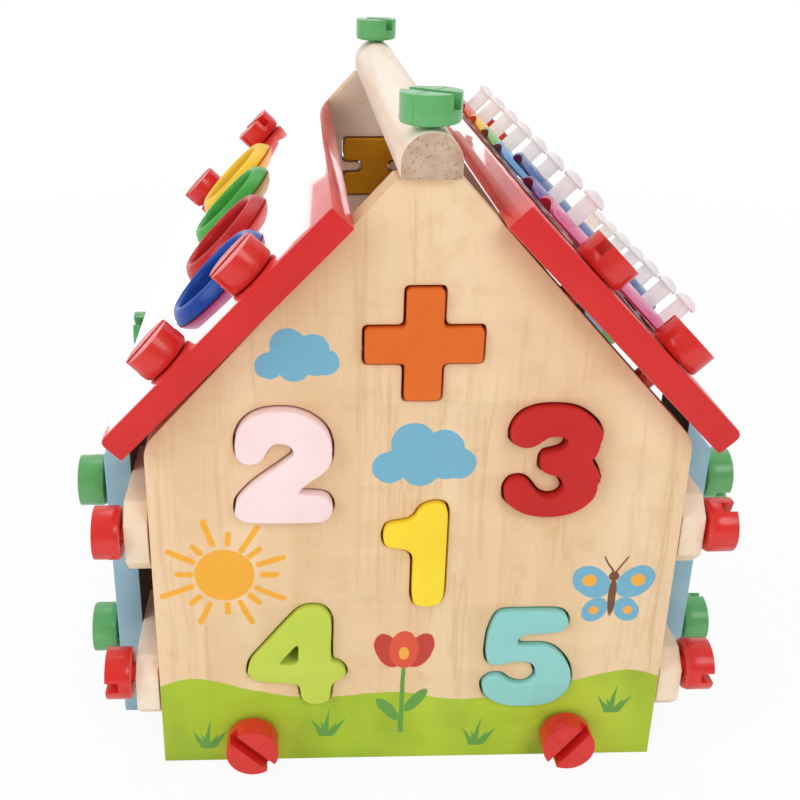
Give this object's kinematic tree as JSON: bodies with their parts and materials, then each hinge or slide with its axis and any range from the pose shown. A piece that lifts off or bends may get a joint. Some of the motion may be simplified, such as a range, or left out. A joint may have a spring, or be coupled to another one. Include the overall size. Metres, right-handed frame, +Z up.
{
  "type": "activity house",
  "caption": "Wooden activity house held by large plastic bolts, with push-out number blocks, pounding holes in one roof and arched chime bars on the other.",
  "frame": {"origin": "on the ground, at the middle of the house and of its bounding box", "axes": "+Z up; the numbered gable faces -Y; the roof with the chime bars is on +X and the roof with the pounding holes on -X"},
  "size_m": [0.304, 0.3256, 0.3087],
  "materials": {
    "birch": "clear satin lacquer on pale birch plywood, with a printed front",
    "pine": "bare sanded softwood",
    "roof_red": "smooth satin red paint",
    "wall_blue": "satin blue paint outside, black board paint inside, bare lugs",
    "bolt_red": "moulded red plastic, soft gloss",
    "bolt_green": "moulded green plastic, soft gloss",
    "orange": "satin orange paint",
    "pink": "satin pale pink paint",
    "yellow": "satin yellow paint",
    "block_red": "satin red paint",
    "lime": "satin lime paint",
    "turquoise": "satin turquoise paint",
    "ochre": "satin ochre paint",
    "collar_blue": "glossy blue plastic",
    "collar_red": "glossy red plastic",
    "collar_green": "glossy green plastic",
    "collar_yellow": "glossy yellow plastic",
    "bar_pink": "pink enamel on strip metal",
    "bar_purple": "purple enamel on strip metal",
    "bar_navy": "dark blue enamel on strip metal",
    "bar_sky": "light blue enamel on strip metal",
    "bar_green": "green enamel on strip metal",
    "bar_yellow": "yellow enamel on strip metal",
    "bar_orange": "orange-red enamel on strip metal",
    "bar_red": "red enamel on strip metal",
    "clear_plastic": "milky translucent plastic"
  },
  "bodies": {
    "house": {"yellow_collar": "collar_yellow", "green_collar": "collar_green", "red_collar": "collar_red", "blue_collar": "collar_blue", "front_gable": "birch", "back_gable": "birch", "left_roof": "roof_red", "left_wall": "wall_blue", "right_roof": "roof_red", "right_wall": "wall_blue", "ridge_bar": "pine", "floor_board": "birch", "upper_peg_rail": "clear_plastic", "lower_peg_rail": "clear_plastic"},
    "left_roof_bolt_front_upper": {"left_roof_bolt_front_upper": "bolt_red"},
    "left_roof_bolt_front_lower": {"left_roof_bolt_front_lower": "bolt_red"},
    "left_roof_bolt_back_upper": {"left_roof_bolt_back_upper": "bolt_red"},
    "left_roof_bolt_back_lower": {"left_roof_bolt_back_lower": "bolt_red"},
    "left_lug_bolt_front_lower": {"left_lug_bolt_front_lower": "bolt_red"},
    "left_wall_bolt_front_lower": {"left_wall_bolt_front_lower": "bolt_green"},
    "left_lug_bolt_front_upper": {"left_lug_bolt_front_upper": "bolt_red"},
    "left_wall_bolt_front_upper": {"left_wall_bolt_front_upper": "bolt_green"},
    "left_lug_bolt_back_lower": {"left_lug_bolt_back_lower": "bolt_red"},
    "left_wall_bolt_back_lower": {"left_wall_bolt_back_lower": "bolt_green"},
    "left_lug_bolt_back_upper": {"left_lug_bolt_back_upper": "bolt_red"},
    "left_wall_bolt_back_upper": {"left_wall_bolt_back_upper": "bolt_green"},
    "right_roof_bolt_front_upper": {"right_roof_bolt_front_upper": "bolt_red"},
    "right_roof_bolt_front_lower": {"right_roof_bolt_front_lower": "bolt_red"},
    "right_roof_bolt_back_upper": {"right_roof_bolt_back_upper": "bolt_red"},
    "right_roof_bolt_back_lower": {"right_roof_bolt_back_lower": "bolt_red"},
    "right_lug_bolt_front_lower": {"right_lug_bolt_front_lower": "bolt_red"},
    "right_wall_bolt_front_lower": {"right_wall_bolt_front_lower": "bolt_green"},
    "right_lug_bolt_front_upper": {"right_lug_bolt_front_upper": "bolt_red"},
    "right_wall_bolt_front_upper": {"right_wall_bolt_front_upper": "bolt_green"},
    "right_lug_bolt_back_lower": {"right_lug_bolt_back_lower": "bolt_red"},
    "right_wall_bolt_back_lower": {"right_wall_bolt_back_lower": "bolt_green"},
    "right_lug_bolt_back_upper": {"right_lug_bolt_back_upper": "bolt_red"},
    "right_wall_bolt_back_upper": {"right_wall_bolt_back_upper": "bolt_green"},
    "base_bolt_front_left": {"base_bolt_front_left": "bolt_red"},
    "base_bolt_front_right": {"base_bolt_front_right": "bolt_red"},
    "ridge_bolt_front": {"ridge_bolt_front": "bolt_green"},
    "base_bolt_back_left": {"base_bolt_back_left": "bolt_red"},
    "base_bolt_back_right": {"base_bolt_back_right": "bolt_red"},
    "ridge_bolt_back": {"ridge_bolt_back": "bolt_green"},
    "plus_block": {"plus_block": "orange"},
    "one_block": {"one_block": "yellow"},
    "two_block": {"two_block": "pink"},
    "three_block": {"three_block": "block_red"},
    "four_block": {"four_block": "lime"},
    "five_block": {"five_block": "turquoise"},
    "equals_block": {"equals_block": "ochre"},
    "pink_bar": {"pink_bar": "bar_pink"},
    "purple_bar": {"purple_bar": "bar_purple"},
    "navy_bar": {"navy_bar": "bar_navy"},
    "sky_bar": {"sky_bar": "bar_sky"},
    "green_bar": {"green_bar": "bar_green"},
    "yellow_bar": {"yellow_bar": "bar_yellow"},
    "orange_bar": {"orange_bar": "bar_orange"},
    "red_bar": {"red_bar": "bar_red"}
  },
  "joints": [
    {"name": "left_roof_bolt_front_upper_turn", "type": "hinge", "parent": "house", "child": "left_roof_bolt_front_upper", "pos_m": [-0.06836, -0.1415, 0.23784], "axis": [-0.7161, 0, 0.698], "continuous": true},
    {"name": "left_roof_bolt_front_lower_turn", "type": "hinge", "parent": "house", "child": "left_roof_bolt_front_lower", "pos_m": [-0.10362, -0.1415, 0.20168], "axis": [-0.7161, 0, 0.698], "continuous": true},
    {"name": "left_roof_bolt_back_upper_turn", "type": "hinge", "parent": "house", "child": "left_roof_bolt_back_upper", "pos_m": [-0.06836, 0.1415, 0.23784], "axis": [-0.7161, 0, 0.698], "continuous": true},
    {"name": "left_roof_bolt_back_lower_turn", "type": "hinge", "parent": "house", "child": "left_roof_bolt_back_lower", "pos_m": [-0.10362, 0.1415, 0.20168], "axis": [-0.7161, 0, 0.698], "continuous": true},
    {"name": "left_lug_bolt_front_lower_turn", "type": "hinge", "parent": "house", "child": "left_lug_bolt_front_lower", "pos_m": [-0.1277, -0.1415, 0.0458], "axis": [-1, 0, 0], "continuous": true},
    {"name": "left_wall_bolt_front_lower_turn", "type": "hinge", "parent": "house", "child": "left_wall_bolt_front_lower", "pos_m": [-0.1401, -0.0995, 0.0418], "axis": [-1, 0, 0], "continuous": true},
    {"name": "left_lug_bolt_front_upper_turn", "type": "hinge", "parent": "house", "child": "left_lug_bolt_front_upper", "pos_m": [-0.1277, -0.1415, 0.1208], "axis": [-1, 0, 0], "continuous": true},
    {"name": "left_wall_bolt_front_upper_turn", "type": "hinge", "parent": "house", "child": "left_wall_bolt_front_upper", "pos_m": [-0.1401, -0.0995, 0.1245], "axis": [-1, 0, 0], "continuous": true},
    {"name": "left_lug_bolt_back_lower_turn", "type": "hinge", "parent": "house", "child": "left_lug_bolt_back_lower", "pos_m": [-0.1277, 0.1415, 0.0458], "axis": [-1, 0, 0], "continuous": true},
    {"name": "left_wall_bolt_back_lower_turn", "type": "hinge", "parent": "house", "child": "left_wall_bolt_back_lower", "pos_m": [-0.1401, 0.0995, 0.0418], "axis": [-1, 0, 0], "continuous": true},
    {"name": "left_lug_bolt_back_upper_turn", "type": "hinge", "parent": "house", "child": "left_lug_bolt_back_upper", "pos_m": [-0.1277, 0.1415, 0.1208], "axis": [-1, 0, 0], "continuous": true},
    {"name": "left_wall_bolt_back_upper_turn", "type": "hinge", "parent": "house", "child": "left_wall_bolt_back_upper", "pos_m": [-0.1401, 0.0995, 0.1245], "axis": [-1, 0, 0], "continuous": true},
    {"name": "right_roof_bolt_front_upper_turn", "type": "hinge", "parent": "house", "child": "right_roof_bolt_front_upper", "pos_m": [0.06836, -0.1415, 0.23784], "axis": [0.7161, 0, 0.698], "continuous": true},
    {"name": "right_roof_bolt_front_lower_turn", "type": "hinge", "parent": "house", "child": "right_roof_bolt_front_lower", "pos_m": [0.10362, -0.1415, 0.20168], "axis": [0.7161, 0, 0.698], "continuous": true},
    {"name": "right_roof_bolt_back_upper_turn", "type": "hinge", "parent": "house", "child": "right_roof_bolt_back_upper", "pos_m": [0.06836, 0.1415, 0.23784], "axis": [0.7161, 0, 0.698], "continuous": true},
    {"name": "right_roof_bolt_back_lower_turn", "type": "hinge", "parent": "house", "child": "right_roof_bolt_back_lower", "pos_m": [0.10362, 0.1415, 0.20168], "axis": [0.7161, 0, 0.698], "continuous": true},
    {"name": "right_lug_bolt_front_lower_turn", "type": "hinge", "parent": "house", "child": "right_lug_bolt_front_lower", "pos_m": [0.1277, -0.1415, 0.0458], "axis": [1, 0, 0], "continuous": true},
    {"name": "right_wall_bolt_front_lower_turn", "type": "hinge", "parent": "house", "child": "right_wall_bolt_front_lower", "pos_m": [0.1401, -0.0995, 0.0418], "axis": [1, 0, 0], "continuous": true},
    {"name": "right_lug_bolt_front_upper_turn", "type": "hinge", "parent": "house", "child": "right_lug_bolt_front_upper", "pos_m": [0.1277, -0.1415, 0.1208], "axis": [1, 0, 0], "continuous": true},
    {"name": "right_wall_bolt_front_upper_turn", "type": "hinge", "parent": "house", "child": "right_wall_bolt_front_upper", "pos_m": [0.1401, -0.0995, 0.1245], "axis": [1, 0, 0], "continuous": true},
    {"name": "right_lug_bolt_back_lower_turn", "type": "hinge", "parent": "house", "child": "right_lug_bolt_back_lower", "pos_m": [0.1277, 0.1415, 0.0458], "axis": [1, 0, 0], "continuous": true},
    {"name": "right_wall_bolt_back_lower_turn", "type": "hinge", "parent": "house", "child": "right_wall_bolt_back_lower", "pos_m": [0.1401, 0.0995, 0.0418], "axis": [1, 0, 0], "continuous": true},
    {"name": "right_lug_bolt_back_upper_turn", "type": "hinge", "parent": "house", "child": "right_lug_bolt_back_upper", "pos_m": [0.1277, 0.1415, 0.1208], "axis": [1, 0, 0], "continuous": true},
    {"name": "right_wall_bolt_back_upper_turn", "type": "hinge", "parent": "house", "child": "right_wall_bolt_back_upper", "pos_m": [0.1401, 0.0995, 0.1245], "axis": [1, 0, 0], "continuous": true},
    {"name": "base_bolt_front_left_turn", "type": "hinge", "parent": "house", "child": "base_bolt_front_left", "pos_m": [-0.073, -0.1509, 0.015], "axis": [0, -1, 0], "continuous": true},
    {"name": "base_bolt_front_right_turn", "type": "hinge", "parent": "house", "child": "base_bolt_front_right", "pos_m": [0.073, -0.1509, 0.015], "axis": [0, -1, 0], "continuous": true},
    {"name": "ridge_bolt_front_turn", "type": "hinge", "parent": "house", "child": "ridge_bolt_front", "pos_m": [0, -0.1415, 0.29685], "axis": [0, 0, 1], "continuous": true},
    {"name": "base_bolt_back_left_turn", "type": "hinge", "parent": "house", "child": "base_bolt_back_left", "pos_m": [-0.073, 0.1509, 0.015], "axis": [0, 1, 0], "continuous": true},
    {"name": "base_bolt_back_right_turn", "type": "hinge", "parent": "house", "child": "base_bolt_back_right", "pos_m": [0.073, 0.1509, 0.015], "axis": [0, 1, 0], "continuous": true},
    {"name": "ridge_bolt_back_turn", "type": "hinge", "parent": "house", "child": "ridge_bolt_back", "pos_m": [0, 0.1415, 0.29685], "axis": [0, 0, 1], "continuous": true},
    {"name": "plus_block_push", "type": "slide", "parent": "house", "child": "plus_block", "axis": [0, -1, 0], "range_m": [0, 0.022]},
    {"name": "one_block_push", "type": "slide", "parent": "house", "child": "one_block", "axis": [0, -1, 0], "range_m": [0, 0.022]},
    {"name": "two_block_push", "type": "slide", "parent": "house", "child": "two_block", "axis": [0, -1, 0], "range_m": [-0.002, 0.02]},
    {"name": "three_block_push", "type": "slide", "parent": "house", "child": "three_block", "axis": [0, -1, 0], "range_m": [-0.002, 0.02]},
    {"name": "four_block_push", "type": "slide", "parent": "house", "child": "four_block", "axis": [0, -1, 0], "range_m": [0, 0.022]},
    {"name": "five_block_push", "type": "slide", "parent": "house", "child": "five_block", "axis": [0, -1, 0], "range_m": [0, 0.022]},
    {"name": "equals_block_push", "type": "slide", "parent": "house", "child": "equals_block", "axis": [0, 1, 0], "range_m": [0, 0.022]},
    {"name": "pink_bar_lift", "type": "slide", "parent": "house", "child": "pink_bar", "axis": [0.7161, 0, 0.698], "range_m": [0, 0.0106]},
    {"name": "purple_bar_lift", "type": "slide", "parent": "house", "child": "purple_bar", "axis": [0.7161, 0, 0.698], "range_m": [0, 0.0106]},
    {"name": "navy_bar_lift", "type": "slide", "parent": "house", "child": "navy_bar", "axis": [0.7161, 0, 0.698], "range_m": [-0.0036, 0.007]},
    {"name": "sky_bar_lift", "type": "slide", "parent": "house", "child": "sky_bar", "axis": [0.7161, 0, 0.698], "range_m": [0, 0.0106]},
    {"name": "green_bar_lift", "type": "slide", "parent": "house", "child": "green_bar", "axis": [0.7161, 0, 0.698], "range_m": [0, 0.0106]},
    {"name": "yellow_bar_lift", "type": "slide", "parent": "house", "child": "yellow_bar", "axis": [0.7161, 0, 0.698], "range_m": [0, 0.0106]},
    {"name": "orange_bar_lift", "type": "slide", "parent": "house", "child": "orange_bar", "axis": [0.7161, 0, 0.698], "range_m": [0, 0.0106]},
    {"name": "red_bar_lift", "type": "slide", "parent": "house", "child": "red_bar", "axis": [0.7161, 0, 0.698], "range_m": [0, 0.0106]}
  ]
}
